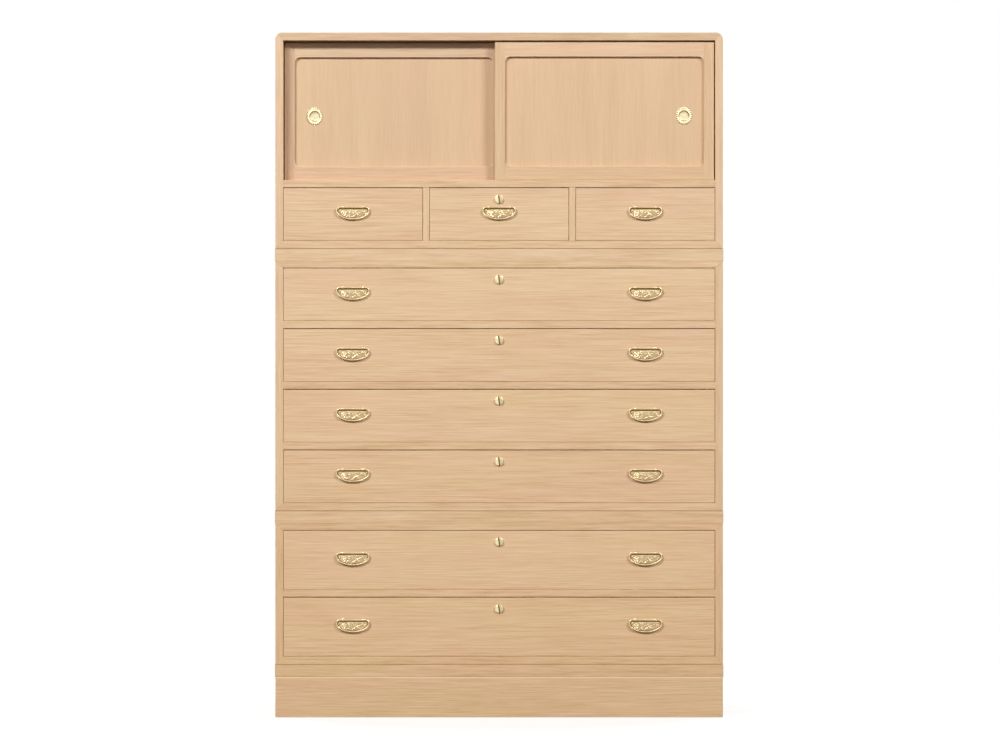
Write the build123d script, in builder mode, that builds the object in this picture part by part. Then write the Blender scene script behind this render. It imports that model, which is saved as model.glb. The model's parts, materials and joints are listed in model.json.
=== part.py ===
from build123d import *

import os
from math import cos, pi, sin

os.makedirs("parts", exist_ok=True)

# A paulownia chest for folded kimono: three stacked cases on a plinth. The upper case has a
# cupboard with two sliding doors over three small drawers, the middle one has four long drawers
# and the lower one two deep ones. Millimetres, +Z up, the front looks along -Y, and the origin is
# on the floor under the middle of the chest.

# Cases
width = 1040.0  # over the side boards
depth = 450.0  # front edge to back edge of the boards
side_thickness = 18.0
top_thickness = 18.0  # top board of the upper case
case_top_thickness = 15.5  # top boards of the middle and lower cases
bottom_thickness = 18.0
shelf_thickness = 17.5
divider_thickness = 15.0
back_thickness = 8.0
back_rebate = 8.0  # how far a back panel is let into the boards around it
corner_radius = 16.0  # rounded upper corners of the chest
arris = 1.0  # eased front edges
shelf_housing = 6.0  # how far a shelf is let into the sides
housing_stop = 18.0  # the housing stops this far behind the front edge

# Comb joints at the case corners, with a mitre at the front edge
case_fingers = 7
mitre_depth = 18.0

# Openings, from the top down
door_opening = 324.5
small_opening = 123.5
small_count = 3
middle_opening = 123.5
middle_count = 4
lower_opening = 138.0
lower_count = 2

# Bands between the cases and the plinth under them
band_height = 29.5
band_width = 60.0
band_proud = 1.0  # past the side boards, each side
joint_gap = 0.6  # height of the fine groove over a band, all round the chest
joint_groove = 4.0  # and how deep it goes
plinth_height = 94.0
plinth_thickness = 20.0
stretcher_thickness = 24.0
block_leg = 46.0  # glue blocks in the plinth corners
peg_size = 14.0
peg_length = 22.0
peg_inset = 30.0  # from the outside of a band to the middle of a peg
peg_gap = 0.3

# Drawers
front_thickness = 20.0
board_thickness = 10.0  # sides and back of a drawer
drawer_bottom = 8.0
front_lap = 12.0  # how far the sides reach into the front
bottom_lap = 8.0  # how far the bottom reaches under the front
front_inset = 0.5  # drawer face behind the case edge
side_gap = 0.8
top_gap = 1.5
run_gap = 0.3  # between a drawer and the board it runs on
rear_gap = 10.0
side_drop = 4.0  # drawer sides lower than the front
drawer_fingers = 3

# Sliding doors in two tracks
door_thickness = 20.0
door_inset = 5.0  # front door face behind the case edge
door_gap = 3.0  # between the two doors
door_overlap = 20.0
door_stop = 2.2  # each door rests this far from the side board
stile_width = 23.5
head_rail = 32.9  # height of a door's upper rail
foot_rail = 31.0  # and of its lower one
window_radius = 14.0  # corners of the window in a door frame
horn_length = 11.0  # how far the rail runs up the stile to form that corner
panel_thickness = 9.0
panel_recess = 7.0
panel_tongue = 6.0
track_tongue = 10.0  # thickness of the tongues that run in the tracks, along a door's back face
track_gap = 0.5
sill_groove = 3.0
head_groove = 9.0
head_shoulder = 4.4  # open height over the door's shoulder
head_bite = 5.0  # how far the upper tongue stands in its groove
door_lift = 0.6  # the door's lower shoulder over the sill

# Door pulls: oval cups let into the panels
pull_width = 38.5
pull_height = 44.0
pull_rim = 1.6
cup_width = 24.0
cup_height = 28.0
cup_depth = 8.5
cup_wall = 1.5
cup_fit = 0.3
pull_margin = 46.3  # from the window's outer side to the middle of the pull
pull_drop = 9.3  # under the middle of the window
pull_flats = 20  # petals round the rim, and flats round the cup

# Bail handles on drawers
bail_width = 78.4
bail_height = 30.5
bail_corner = 9.3
bail_rim = 3.2
bail_depth = 4.5
shoulder_flats = 3  # the brass is drawn in short flats: round each shoulder
foot_flats = 11  # and round the half-elliptic foot
bar_radius = 1.7
bar_flats = 8
bail_stand = 3.2  # from the plate to the middle of the bar
bar_half = 27.5  # half length of the stretch that turns in the knuckles
handle_raise = 3.0  # middle of a handle over the middle of the drawer
handle_spread = 340.0  # from the middle of a long drawer to a handle
plate_thickness = 1.6
plate_margin = 1.2
knuckle_spread = 24.0
knuckle_width = 5.0
knuckle_wall = 0.95
knuckle_fit = 0.35
shank_width = 3.0
shank_height = 2.4
clinch_length = 9.0
clinch_thickness = 1.0

# Drawer locks: a round escutcheon with a key slot in front, and behind the front board a case
# whose bolt rises into the board above
lock_drop = 25.5  # middle of the escutcheon under the top edge of the drawer
lock_radius = 10.0
lock_height = 3.2
key_barrel = 8.0  # side of the square barrel through the front
slot_width = 1.8
slot_length = 17.0
slot_depth = 2.2
slot_tilt = 8.0
lock_case_width = 36.0
lock_case_height = 30.0
lock_case_depth = 10.0
lock_case_drop = 1.5  # top of the case under the top edge of the drawer
bolt_width = 16.0
bolt_thickness = 4.0
bolt_height = 14.0
bolt_gap = 0.3
lock_bite = 4.5  # how far the bolt stands in the board when locked
pocket_room = 1.2

# Levels, from the floor up
plinth_top = plinth_height
lower_low = plinth_top + band_height
lower_high = (
    lower_low
    + bottom_thickness
    + lower_count * lower_opening
    + (lower_count - 1) * shelf_thickness
    + case_top_thickness
)
middle_low = lower_high + band_height
middle_high = (
    middle_low
    + bottom_thickness
    + middle_count * middle_opening
    + (middle_count - 1) * shelf_thickness
    + case_top_thickness
)
upper_low = middle_high + band_height
cupboard_low = upper_low + bottom_thickness + small_opening + shelf_thickness
upper_high = cupboard_low + door_opening + top_thickness

front = -depth / 2
back = depth / 2
inner_width = width - 2 * side_thickness
board_depth = depth - back_thickness  # boards that stop at the back panel
side_middle = (width - side_thickness) / 2
small_width = (inner_width - (small_count - 1) * divider_thickness) / small_count
drawer_length = depth - back_thickness - rear_gap - front_inset
front_plane = Plane.XZ.offset(-front)  # faces -Y, local x is X and local y is Z
finger_width = (depth - mitre_depth) / case_fingers
bolt_y = front_inset + front_thickness + lock_case_depth / 2  # bolt's middle behind the case edge


def save(node, pieces):
    """Writes one node, a single piece or a group of separate pieces."""
    if len(pieces) == 1:
        pieces[0].label = node
        export_step(pieces[0], f"parts/{node}.step")
    else:
        export_step(Compound(label=node, children=pieces), f"parts/{node}.step")


def finger_middles(first):
    """Where every second finger of a case corner lies along Y, from finger number first."""
    start = front + mitre_depth + finger_width / 2
    return [start + i * finger_width for i in range(first, case_fingers, 2)]


def corner_places(first, z_middle):
    """The middles of one board's fingers in both corner blocks at a level."""
    return [(x, y, z_middle) for x in (-side_middle, side_middle) for y in finger_middles(first)]


def mitre_wedges(outer, inner, of_side):
    """The two triangles at a level that the side boards, or the board between them, keep."""
    wedges = []
    for sign in (-1, 1):
        x_out, x_in = sign * width / 2, sign * inner_width / 2
        third = (x_out, inner) if of_side else (x_in, outer)
        wedges.append(((x_out, outer), (x_in, inner), third))
    return wedges


def back_opening(low, high, bottom, top):
    """Middle height and height of the back panel of a case."""
    z_low, z_high = low + bottom - back_rebate, high - top + back_rebate
    return (z_low + z_high) / 2, z_high - z_low


def make_sides(low, high, bottom, top, shelf_middles, rounded=False):
    """Both side boards of a case, cut for the fingers, mitres, shelves and back panel."""
    panel_z, panel_height = back_opening(low, high, bottom, top)
    with BuildPart() as sides:
        with Locations(*[(x, 0, (low + high) / 2) for x in (-side_middle, side_middle)]):
            Box(side_thickness, depth, high - low)
        with Locations(*corner_places(1, low + bottom / 2)):
            Box(side_thickness, finger_width, bottom, mode=Mode.SUBTRACT)
        with Locations(*corner_places(1, high - top / 2)):
            Box(side_thickness, finger_width, top, mode=Mode.SUBTRACT)
        with BuildSketch(front_plane):
            for wedge in mitre_wedges(low, low + bottom, False):
                Polygon(*wedge, align=None)
            for wedge in mitre_wedges(high, high - top, False):
                Polygon(*wedge, align=None)
        extrude(amount=-mitre_depth, mode=Mode.SUBTRACT)
        for z in shelf_middles:
            with Locations((0, (housing_stop - back_thickness) / 2, z)):
                Box(inner_width + 2 * shelf_housing, board_depth - housing_stop, shelf_thickness,
                    mode=Mode.SUBTRACT)
        with Locations((0, back - back_thickness / 2, panel_z)):
            Box(inner_width + 2 * back_rebate, back_thickness, panel_height, mode=Mode.SUBTRACT)
        if rounded:
            with BuildSketch(front_plane) as outline:
                with Locations((0, (low + high) / 2)):
                    Rectangle(width, high - low)
                fillet(outline.vertices().group_by(Axis.Y)[-1], corner_radius)
            extrude(amount=-depth, mode=Mode.INTERSECT)
    sides.part.label = "side_boards"
    return sides.part


def make_board(low, thickness, panel_z, panel_height, outer, inner):
    """A top or bottom board with its fingers and mitres. outer and inner are its two faces' levels."""
    with BuildPart() as board:
        with Locations((0, 0, low + thickness / 2)):
            Box(width, depth, thickness)
        with Locations(*corner_places(0, low + thickness / 2)):
            Box(side_thickness, finger_width, thickness, mode=Mode.SUBTRACT)
        with BuildSketch(front_plane):
            for wedge in mitre_wedges(outer, inner, True):
                Polygon(*wedge, align=None)
        extrude(amount=-mitre_depth, mode=Mode.SUBTRACT)
        with Locations((0, back - back_thickness / 2, panel_z)):
            Box(inner_width + 2 * back_rebate, back_thickness, panel_height, mode=Mode.SUBTRACT)
    board.part.label = "case_board"
    return board.part


def cut_lock_pocket(board, underside):
    """Cuts the mortise that a lock's bolt rises into, in the underside of the board over a drawer."""
    pocket_depth = lock_bite + pocket_room
    with BuildPart() as cut:
        add(board)
        with Locations((0, front + bolt_y, underside + pocket_depth / 2)):
            Box(bolt_width + 2 * pocket_room, bolt_thickness + 2 * pocket_room, pocket_depth,
                mode=Mode.SUBTRACT)
    cut.part.label = board.label
    return cut.part


def cut_peg_mortises(board, low):
    """Cuts the mortises for the stacking pegs in the underside of a case's bottom board."""
    with BuildPart() as cut:
        add(board)
        with Locations(*[(x, y, low + peg_length / 4) for x, y in peg_places]):
            Box(peg_size + 2 * peg_gap, peg_size + 2 * peg_gap, peg_length / 2 + peg_gap,
                mode=Mode.SUBTRACT)
    cut.part.label = board.label
    return cut.part


def make_back(low, high, bottom, top):
    """The thin panel that closes the back of a case, in its rebate."""
    panel_z, panel_height = back_opening(low, high, bottom, top)
    with BuildPart() as panel:
        with Locations((0, back - back_thickness / 2, panel_z)):
            Box(inner_width + 2 * back_rebate, back_thickness, panel_height)
    panel.part.label = "back_panel"
    return panel.part


def make_shelf(z_middle, door_tracks=False):
    """A board let into both sides, with eased front edges, and the door tracks if it's the sill."""
    with BuildPart() as shelf:
        with Locations((0, -back_thickness / 2, z_middle)):
            Box(inner_width, board_depth, shelf_thickness)
        face = shelf.faces().sort_by(Axis.Y)[0]
        chamfer(face.edges().filter_by(Axis.X), arris)
        with Locations((0, (housing_stop - back_thickness) / 2, z_middle)):
            Box(inner_width + 2 * shelf_housing, board_depth - housing_stop, shelf_thickness)
        if door_tracks:
            with Locations(*[(0, y, z_middle + (shelf_thickness - sill_groove) / 2)
                             for y in track_middles]):
                Box(inner_width, track_tongue + 2 * track_gap, sill_groove, mode=Mode.SUBTRACT)
    shelf.part.label = "shelf"
    return shelf.part


def make_ring(low, height, half_width, half_depth, board):
    """A mitred frame of four boards lying round the outline of the chest."""
    x_in, y_in = half_width - board, half_depth - board
    long_side = ((-half_width, -half_depth), (half_width, -half_depth), (x_in, -y_in), (-x_in, -y_in))
    end_side = ((half_width, -half_depth), (half_width, half_depth), (x_in, y_in), (x_in, -y_in))
    pieces = []
    for corners, sign in ((long_side, 1), (long_side, -1), (end_side, 1), (end_side, -1)):
        with BuildPart() as member:
            with BuildSketch(Plane.XY.offset(low)):
                Polygon(*[(sign * x, sign * y) for x, y in corners], align=None)
            extrude(amount=height)
        member.part.label = "frame_board"
        pieces.append(member.part)
    return pieces


def make_band(low):
    """A band frame with the groove round its upper edge and the mortises for its pegs."""
    pieces = []
    for member in make_ring(low, band_height, width / 2 + band_proud, depth / 2, band_width):
        with BuildPart() as cut:
            add(member)
            with BuildSketch(Plane.XY.offset(low + band_height - joint_gap)):
                Rectangle(width + 2 * band_proud, depth)
                Rectangle(width + 2 * (band_proud - joint_groove), depth - 2 * joint_groove,
                          mode=Mode.SUBTRACT)
            extrude(amount=joint_gap, mode=Mode.SUBTRACT)
            with Locations(*[(x, y, low + band_height - peg_length / 4) for x, y in peg_places]):
                Box(peg_size, peg_size, peg_length / 2, mode=Mode.SUBTRACT)
        cut.part.label = "band_board"
        pieces.append(cut.part)
    return pieces


def make_drawer(x, low, opening_width, opening_height, handles, locked):
    """A drawer box: front, two sides, back and bottom, lapped in front and combed at the back.

    The bottom is under the sides and back, and the drawer runs on it.
    """
    wide = opening_width - 2 * side_gap
    high = opening_height - top_gap - run_gap
    side_high = high - drawer_bottom - side_drop
    side_z = drawer_bottom + side_high / 2
    side_x = (wide - board_thickness) / 2
    side_length = drawer_length - front_thickness + front_lap
    side_y = drawer_length - side_length / 2
    bottom_length = drawer_length - front_thickness + bottom_lap
    bottom_y = drawer_length - bottom_length / 2
    back_y = drawer_length - board_thickness / 2
    finger = side_high / drawer_fingers
    finger_z = [drawer_bottom + (i + 0.5) * finger for i in range(drawer_fingers)]
    place = Plane((x, front + front_inset, low + run_gap))
    with BuildPart(place) as face_board:
        with Locations((0, front_thickness / 2, high / 2)):
            Box(wide, front_thickness, high)
        chamfer(face_board.faces().sort_by(Axis.Y)[0].edges(), arris)
        with Locations((-side_x, side_y, side_z), (side_x, side_y, side_z)):
            Box(board_thickness, side_length, side_high, mode=Mode.SUBTRACT)
        with Locations((0, bottom_y, drawer_bottom / 2)):
            Box(wide, bottom_length, drawer_bottom, mode=Mode.SUBTRACT)
        shanks = [(h + s, front_thickness / 2, high / 2 + handle_raise + bar_rise)
                  for h in handles for s in (-knuckle_spread, knuckle_spread)]
        with Locations(*shanks):
            Box(shank_width, front_thickness, shank_height, mode=Mode.SUBTRACT)
        if locked:
            with Locations((0, front_thickness / 2, high - lock_drop)):
                Box(key_barrel, front_thickness, key_barrel, mode=Mode.SUBTRACT)
    with BuildPart(place) as sides:
        with Locations((-side_x, side_y, side_z), (side_x, side_y, side_z)):
            Box(board_thickness, side_length, side_high)
        with Locations(*[(sx, back_y, z) for sx in (-side_x, side_x) for z in finger_z[1::2]]):
            Box(board_thickness, board_thickness, finger, mode=Mode.SUBTRACT)
    with BuildPart(place) as back_board:
        with Locations((0, back_y, side_z)):
            Box(wide, board_thickness, side_high)
        with Locations(*[(sx, back_y, z) for sx in (-side_x, side_x) for z in finger_z[0::2]]):
            Box(board_thickness, board_thickness, finger, mode=Mode.SUBTRACT)
    with BuildPart(place) as floor_board:
        with Locations((0, bottom_y, drawer_bottom / 2)):
            Box(wide, bottom_length, drawer_bottom)
    face_board.part.label = "drawer_front"
    sides.part.label = "drawer_sides"
    back_board.part.label = "drawer_back"
    floor_board.part.label = "drawer_bottom"
    return [face_board.part, sides.part, back_board.part, floor_board.part]


def bail_outline(margin):
    """The face of a handle, margin inside its rim: straight top, round shoulders, half-elliptic foot."""
    half, shoulder = bail_width / 2 - margin, bail_corner - margin
    foot = bail_height - bail_corner - margin
    right = []
    for i in range(shoulder_flats + 1):
        turn = pi / 2 * (1 - i / shoulder_flats)
        right.append((half - shoulder + shoulder * cos(turn), shoulder * sin(turn) - bail_corner))
    for i in range(1, (foot_flats + 1) // 2):
        turn = pi * i / foot_flats
        right.append((half * cos(turn), -foot * sin(turn) - bail_corner))
    with BuildSketch(Plane.XZ) as outline:
        Polygon(*right, *[(-x, z) for x, z in reversed(right)], align=None)
    return outline.sketch


def make_bail(place):
    """The bail: a flat rim all round, and an eight-sided bar for the knuckles in its straight top."""
    with BuildPart() as bail:
        extrude(bail_outline(0), amount=bail_depth / 2, both=True)
        extrude(bail_outline(bail_rim), amount=bail_depth / 2, both=True, mode=Mode.SUBTRACT)
        with Locations((0, 0, -bar_drop)):
            Box(2 * bar_half, bail_depth, bail_rim, mode=Mode.SUBTRACT)
        with BuildSketch(Plane.YZ.offset(-bar_half)):
            with Locations((0, -bar_drop)):
                RegularPolygon(bar_radius, bar_flats, rotation=180 / bar_flats)
        extrude(amount=2 * bar_half)
    bail.part.label = "bail"
    return bail.part.moved(Location((place.X, place.Y, place.Z + bar_drop)))


def make_plate(place):
    """The back plate: a thin D a little inside the bail, with holes for the knuckles' shanks."""
    with BuildPart() as plate:
        extrude(bail_outline(plate_margin), amount=plate_thickness)
        with Locations((-knuckle_spread, 0, -bar_drop), (knuckle_spread, 0, -bar_drop)):
            Box(shank_width, 2 * plate_thickness, shank_height, mode=Mode.SUBTRACT)
    plate.part.label = "back_plate"
    return plate.part.moved(Location((place.X, place.Y + plate_stand, place.Z + bar_drop)))


def make_knuckle(place):
    """An eye round the bar on a flat shank that goes through plate and front and is bent over."""
    hole = 2 * (bar_radius + knuckle_fit)
    eye = hole + 2 * knuckle_wall
    shank_length = plate_stand + front_thickness - eye / 2
    with BuildPart() as knuckle:
        Box(knuckle_width, eye, eye)
        with Locations((0, eye / 2 + shank_length / 2, 0)):
            Box(shank_width, shank_length, shank_height)
        with Locations((0, plate_stand + front_thickness + clinch_thickness / 2, 0)):
            Box(clinch_length, clinch_thickness, shank_height)
        Box(knuckle_width, hole, hole, mode=Mode.SUBTRACT)
    knuckle.part.label = "knuckle"
    return knuckle.part.moved(Location(place))


def make_escutcheon(place):
    """The round front of a lock, with the key slot, and its barrel through the board to the case."""
    with BuildPart() as escutcheon:
        with BuildSketch(Plane.XZ):
            Circle(lock_radius)
        extrude(amount=lock_height)
        with BuildSketch(Plane.XZ):
            Rectangle(key_barrel, key_barrel)
        extrude(amount=-front_thickness)
        with BuildSketch(Plane.XZ.offset(lock_height)):
            with Locations(Location((0, 0), slot_tilt)):
                Rectangle(slot_width, slot_length)
        extrude(amount=-slot_depth, mode=Mode.SUBTRACT)
    escutcheon.part.label = "escutcheon"
    return escutcheon.part.moved(Location(place))


def make_lock_case(place):
    """The lock's case behind the front board, with the channel that its bolt slides in."""
    with BuildPart() as lock_case:
        with Locations((0, 0, -lock_case_height / 2)):
            Box(lock_case_width, lock_case_depth, lock_case_height)
        with Locations((0, 0, -(bolt_height + bolt_gap) / 2)):
            Box(bolt_width + 2 * bolt_gap, bolt_thickness + 2 * bolt_gap, bolt_height + bolt_gap,
                mode=Mode.SUBTRACT)
    lock_case.part.label = "lock_case"
    return lock_case.part.moved(Location(place))


def make_bolt(place):
    """The bolt, flush with the top of its case until the key lifts it."""
    with BuildPart() as bolt:
        with Locations((0, 0, -bolt_height / 2)):
            Box(bolt_width, bolt_thickness, bolt_height)
    bolt.part.label = "lock_bolt"
    return bolt.part.moved(Location(place))


def oval(width_across, height_across):
    """Corners of an oval in flats, as a pull's rim and cup have."""
    turns = [2 * pi * i / pull_flats for i in range(pull_flats)]
    return [(width_across / 2 * cos(turn), height_across / 2 * sin(turn)) for turn in turns]


def make_door(x, face, pull_side):
    """A sliding door: two stiles, two rails, the panel between them and the pull in the panel."""
    high = door_opening - head_shoulder - door_lift
    low = cupboard_low + door_lift
    middle = low + high / 2
    window_width, window_height = door_width - 2 * stile_width, high - head_rail - foot_rail
    window_middle = low + foot_rail + window_height / 2
    panel_y = face + panel_recess + panel_thickness / 2
    tongue_y = face + door_thickness - track_tongue / 2
    door_middle = face + door_thickness / 2
    foot = door_lift + sill_groove - run_gap  # depth of the lower tongue under the shoulder
    head = head_shoulder + head_bite
    tongues = ((high / 2 + head / 2, head), (-high / 2 - foot / 2, foot))
    plane = Plane((x, face, window_middle), x_dir=(1, 0, 0), z_dir=(0, -1, 0))
    stile_x = (door_width - stile_width) / 2
    with BuildPart() as stiles:
        with Locations((x - stile_x, door_middle, middle), (x + stile_x, door_middle, middle)):
            Box(stile_width, door_thickness, high)
            for tongue_z, tongue_height in tongues:
                with Locations((0, tongue_y - door_middle, tongue_z)):
                    Box(stile_width, track_tongue, tongue_height)
        with Locations((x, panel_y, window_middle)):
            Box(window_width + 2 * panel_tongue, panel_thickness, window_height + 2 * panel_tongue,
                mode=Mode.SUBTRACT)
    with BuildPart() as rails:
        with BuildSketch(plane):
            for sign, rail in ((1, head_rail), (-1, foot_rail)):
                with Locations((0, sign * (window_height + rail - horn_length) / 2)):
                    Rectangle(window_width, rail + horn_length)
            RectangleRounded(window_width, window_height, window_radius, mode=Mode.SUBTRACT)
        extrude(amount=-door_thickness)
        for tongue_z, tongue_height in tongues:
            with Locations((x, tongue_y, middle + tongue_z)):
                Box(window_width, track_tongue, tongue_height)
        with Locations((x, panel_y, window_middle)):
            Box(window_width + 2 * panel_tongue, panel_thickness, window_height + 2 * panel_tongue,
                mode=Mode.SUBTRACT)
    pull_x = pull_side * (window_width / 2 - pull_margin)
    with BuildPart() as panel:
        with Locations((x, panel_y, window_middle)):
            Box(window_width + 2 * panel_tongue, panel_thickness, window_height + 2 * panel_tongue)
        with BuildSketch(plane.offset(-panel_recess)):
            with Locations((pull_x, -pull_drop)):
                Polygon(*oval(cup_width + 2 * cup_wall + 2 * cup_fit,
                              cup_height + 2 * cup_wall + 2 * cup_fit), align=None)
        extrude(amount=-panel_thickness, mode=Mode.SUBTRACT)
    with BuildPart() as pull:
        with BuildSketch(plane.offset(-panel_recess)):
            with Locations((pull_x, -pull_drop)):
                Polygon(*oval(pull_width, pull_height), align=None)
        extrude(amount=pull_rim)
        with BuildSketch(plane.offset(-panel_recess)):
            with Locations((pull_x, -pull_drop)):
                Polygon(*oval(cup_width + 2 * cup_wall, cup_height + 2 * cup_wall), align=None)
        extrude(amount=-cup_depth + pull_rim - cup_wall)
        with BuildSketch(plane.offset(pull_rim - panel_recess)):
            with Locations((pull_x, -pull_drop)):
                Polygon(*oval(cup_width, cup_height), align=None)
        extrude(amount=-cup_depth, mode=Mode.SUBTRACT)
    stiles.part.label = "door_stiles"
    rails.part.label = "door_rails"
    panel.part.label = "door_panel"
    pull.part.label = "door_pull"
    return [stiles.part, rails.part], panel.part, pull.part


# Where the stacking pegs stand, the door tracks run and the bail's bar lies
peg_x = width / 2 + band_proud - peg_inset
peg_places = [(-peg_x, 0), (peg_x, 0)]
door_faces = [front + door_inset, front + door_inset + door_thickness + door_gap]
track_middles = [face + door_thickness - track_tongue / 2 for face in door_faces]
door_width = (inner_width - 2 * door_stop + door_overlap) / 2
bar_drop = bail_rim / 2  # bar's middle under the top of the handle
bar_rise = bail_height / 2 - bar_drop  # bar's middle over the middle of the handle
plate_stand = plate_thickness + bail_stand  # bar's middle in front of the drawer face

# Shelves in each case
middle_shelf_z = [middle_low + bottom_thickness + i * (middle_opening + shelf_thickness)
                  - shelf_thickness / 2 for i in range(1, middle_count)]
lower_shelf_z = [lower_low + bottom_thickness + i * (lower_opening + shelf_thickness)
                 - shelf_thickness / 2 for i in range(1, lower_count)]
sill_z = cupboard_low - shelf_thickness / 2

# Case boards
cases = [
    ("upper", upper_low, upper_high, top_thickness, [sill_z]),
    ("middle", middle_low, middle_high, case_top_thickness, middle_shelf_z),
    ("lower", lower_low, lower_high, case_top_thickness, lower_shelf_z),
]
case_tops, case_bottoms, back_panels = [], [], []
for name, low, high, top, shelf_z in cases:
    save(f"{name}_case_sides", [make_sides(low, high, bottom_thickness, top, shelf_z, name == "upper")])
    panel_z, panel_height = back_opening(low, high, bottom_thickness, top)
    under = make_board(low, bottom_thickness, panel_z, panel_height, low, low + bottom_thickness)
    case_bottoms.append(cut_peg_mortises(under, low))
    back_panels.append(make_back(low, high, bottom_thickness, top))
    over = make_board(high - top, top, panel_z, panel_height, high, high - top)
    if name != "upper":
        case_tops.append(cut_lock_pocket(over, high - top))
    else:
        with BuildPart() as roof:
            add(over)
            with Locations(*[(0, y, high - top + head_groove / 2) for y in track_middles]):
                Box(inner_width, track_tongue + 2 * track_gap, head_groove, mode=Mode.SUBTRACT)
            with BuildSketch(front_plane) as outline:
                with Locations((0, high - top / 2)):
                    Rectangle(width, top)
                fillet(outline.vertices().group_by(Axis.Y)[-1], corner_radius)
            extrude(amount=-depth, mode=Mode.INTERSECT)
        save("upper_case_top", [roof.part])
save("case_tops", case_tops)
save("case_bottoms", case_bottoms)
save("back_panels", back_panels)

# Shelves, the sill of the cupboard and the dividers between the small drawers
save("cupboard_floor", [cut_lock_pocket(make_shelf(sill_z, True), sill_z - shelf_thickness / 2)])
save("drawer_shelves", [cut_lock_pocket(make_shelf(z), z - shelf_thickness / 2)
                        for z in middle_shelf_z + lower_shelf_z])
small_low = upper_low + bottom_thickness
with BuildPart() as dividers:
    with Locations(*[(-inner_width / 2 + (i + 1) * small_width + (i + 0.5) * divider_thickness,
                      -back_thickness / 2, small_low + small_opening / 2)
                     for i in range(small_count - 1)]):
        Box(divider_thickness, board_depth, small_opening)
save("drawer_dividers", [dividers.part])

# Bands, pegs and plinth
bands, pegs = [], []
for low in (plinth_top, lower_high, middle_high):
    bands.extend(make_band(low))
    with BuildPart() as peg_set:
        with Locations(*[(x, y, low + band_height) for x, y in peg_places]):
            Box(peg_size, peg_size, peg_length)
    peg_set.part.label = "pegs"
    pegs.append(peg_set.part)
save("case_bands", bands)
save("stacking_pegs", pegs)
save("plinth_frame", make_ring(0, plinth_height, width / 2, depth / 2, plinth_thickness))
with BuildPart() as braces:
    with Locations((0, 0, plinth_height / 2)):
        Box(stretcher_thickness, depth - 2 * plinth_thickness, plinth_height)
    with BuildSketch():
        x_in, y_in = width / 2 - plinth_thickness, depth / 2 - plinth_thickness
        for sx in (-1, 1):
            for sy in (-1, 1):
                Polygon((sx * x_in, sy * y_in), (sx * (x_in - block_leg), sy * y_in),
                        (sx * x_in, sy * (y_in - block_leg)), align=None)
    extrude(amount=plinth_height)
save("plinth_braces", [braces.part])

# Doors: the right one runs in the front track
door_x = (door_width - door_overlap) / 2
for name, sign, face in (("right", 1, door_faces[0]), ("left", -1, door_faces[1])):
    frame_pieces, panel_piece, pull_piece = make_door(sign * door_x, face, sign)
    save(f"door_{name}_frame", frame_pieces)
    save(f"door_{name}_panel", [panel_piece])
    save(f"door_{name}_pull", [pull_piece])

# Drawers, from the top down: name, middle, floor, opening, handle places and whether it locks
small_pitch = small_width + divider_thickness
drawers = [(f"small_drawer_{i + 1}", (i - (small_count - 1) / 2) * small_pitch, small_low, small_width,
            small_opening, [0], 2 * i == small_count - 1) for i in range(small_count)]
long_handles = [-handle_spread, handle_spread]
for i in range(middle_count):
    floor = middle_low + bottom_thickness + (middle_count - 1 - i) * (middle_opening + shelf_thickness)
    drawers.append((f"long_drawer_{i + 1}", 0, floor, inner_width, middle_opening, long_handles, True))
for i in range(lower_count):
    floor = lower_low + bottom_thickness + (lower_count - 1 - i) * (lower_opening + shelf_thickness)
    drawers.append((f"deep_drawer_{i + 1}", 0, floor, inner_width, lower_opening, long_handles, True))

for name, x, floor, opening_width, opening_height, handles, locked in drawers:
    save(name, make_drawer(x, floor, opening_width, opening_height, handles, locked))
    face_y = front + front_inset
    high = opening_height - top_gap - run_gap
    bar_z = floor + run_gap + high / 2 + handle_raise + bar_rise
    top_edge = floor + run_gap + high
    case_place = Vector(x, front + bolt_y, top_edge - lock_case_drop)
    fittings = []
    for number, offset_x in enumerate(handles, 1):
        bar = Vector(x + offset_x, face_y - plate_stand, bar_z)
        save(f"{name}_bail_{number}", [make_bail(bar)])
        fittings.append(make_plate(bar))
        fittings.append(make_knuckle(bar + Vector(-knuckle_spread, 0, 0)))
        fittings.append(make_knuckle(bar + Vector(knuckle_spread, 0, 0)))
    if locked:
        fittings.append(make_escutcheon(Vector(x, face_y, top_edge - lock_drop)))
        fittings.append(make_lock_case(case_place))
        save(f"{name}_lock_bolt", [make_bolt(case_place)])
    save(f"{name}_fittings", fittings)
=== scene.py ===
import json
import random
from math import atan2, cos, degrees, pi, radians, sin

import bmesh
import bpy
from mathutils import Matrix, Vector

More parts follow.
